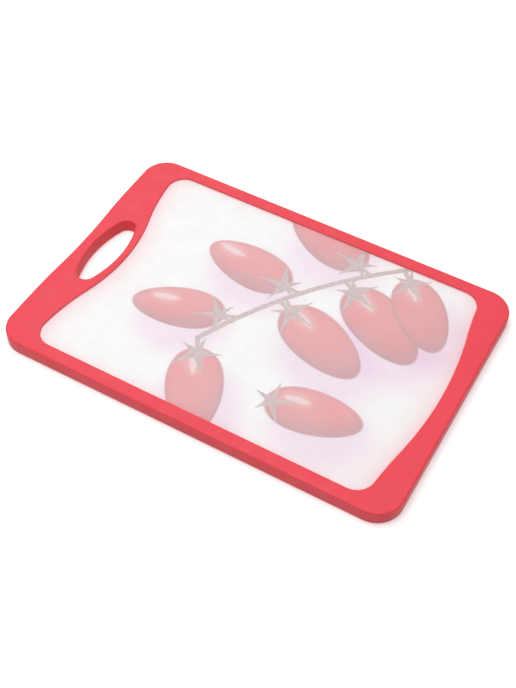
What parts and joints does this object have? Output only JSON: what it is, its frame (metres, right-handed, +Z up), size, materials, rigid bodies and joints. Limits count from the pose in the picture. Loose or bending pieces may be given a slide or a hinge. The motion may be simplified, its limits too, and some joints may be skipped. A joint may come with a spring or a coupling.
{
  "type": "flexible cutting mat",
  "caption": "Rectangular kitchen cutting mat: a soft-grip rim with a handle opening, moulded round a milky core and a frosted cover with a printed sheet between.",
  "frame": {"origin": "centre of the bounding box's bottom face: the middle of the mat, on the surface that it lies on", "axes": "+X along the length, away from the handle end; +Y across the width; +Z up, out of the cutting face"},
  "size_m": [0.36, 0.25, 0.0135],
  "materials": {
    "soft_rim": "matte thermoplastic rubber with a fine dry texture",
    "frosted_cover": "frosted see-through polypropylene, finely textured for cutting",
    "milky_core": "milky white polypropylene that lets a little light through, finely textured for cutting",
    "printed_sheet": "thin plastic film with a pale print, sealed under the cover plate"
  },
  "bodies": {
    "root": {"soft_rim": "soft_rim", "cover_plate": "frosted_cover", "printed_sheet": "printed_sheet", "core_plate": "milky_core"}
  },
  "joints": []
}
